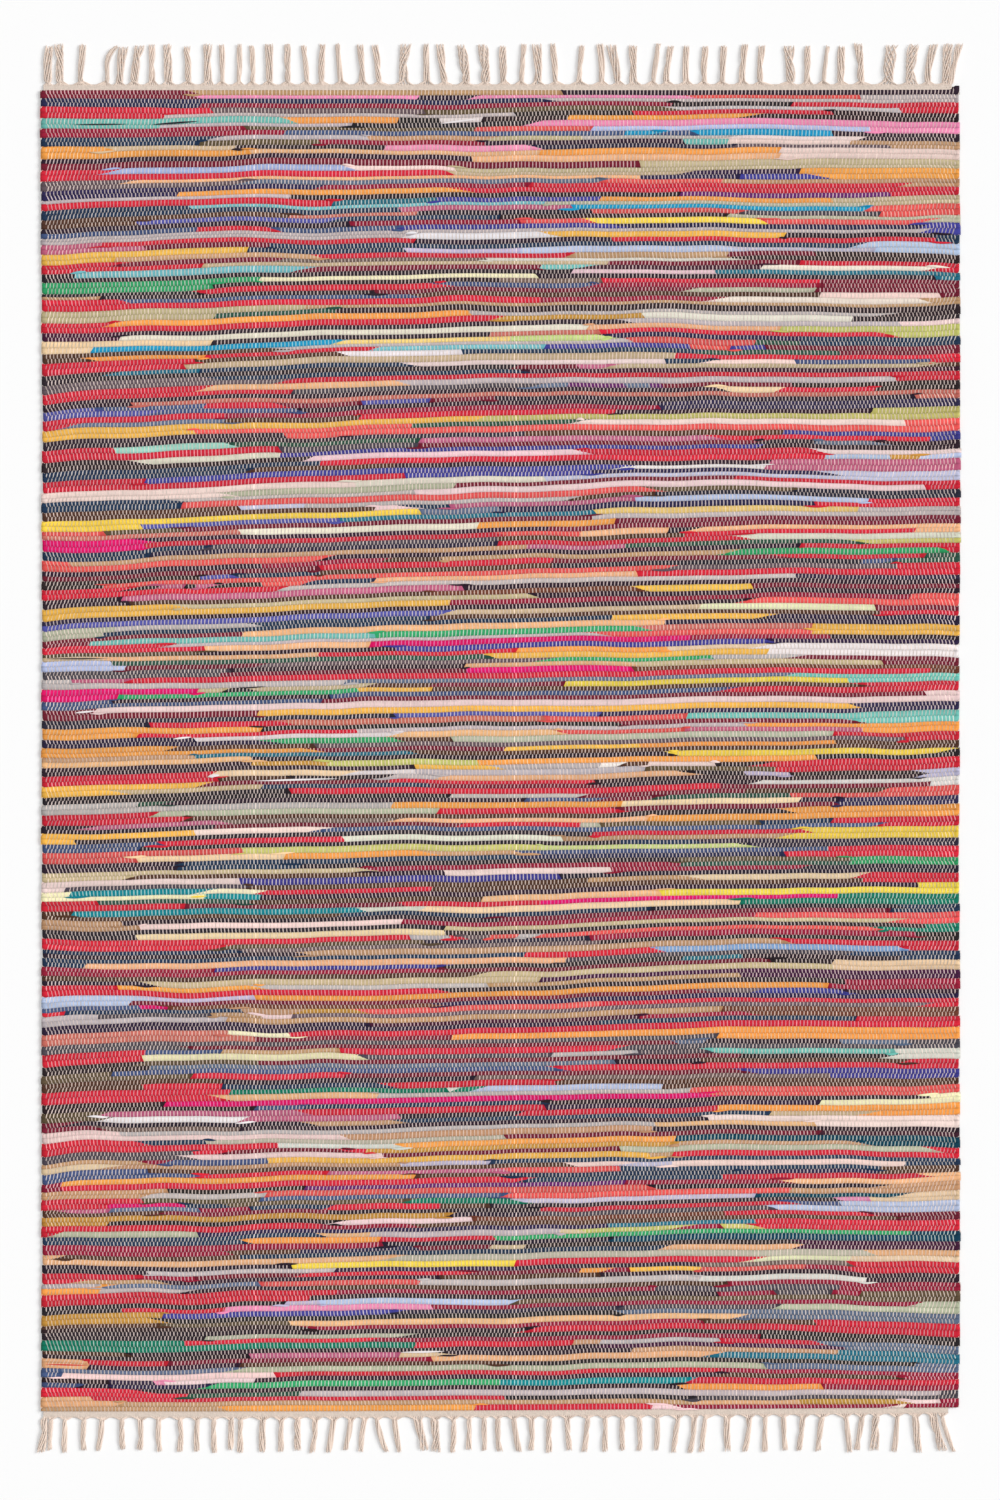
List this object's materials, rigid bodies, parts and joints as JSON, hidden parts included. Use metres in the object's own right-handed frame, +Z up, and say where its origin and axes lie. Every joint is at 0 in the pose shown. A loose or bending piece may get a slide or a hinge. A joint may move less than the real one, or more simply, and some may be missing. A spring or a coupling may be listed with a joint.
{
  "type": "rag rug",
  "caption": "Flat woven rag rug of multicoloured cotton strips on a cream cotton warp, with a narrow heading and loose tassel fringe at each end, to lie on a floor.",
  "frame": {"origin": "centre of the rug's bounding box, on the floor plane under the rug", "axes": "+Z up, +Y along the rug's length towards the end at the top of the picture, +X across its width to the picture's right"},
  "size_m": [1.608, 2.458, 0.0065],
  "materials": {
    "rag_cotton": "matte multicoloured cotton rag strips with cream warp floats",
    "warp_cotton": "matte undyed cream cotton yarn"
  },
  "bodies": {
    "root": {"rag_field": "rag_cotton", "far_heading_and_fringe": "warp_cotton", "near_heading_and_fringe": "warp_cotton"}
  },
  "joints": []
}
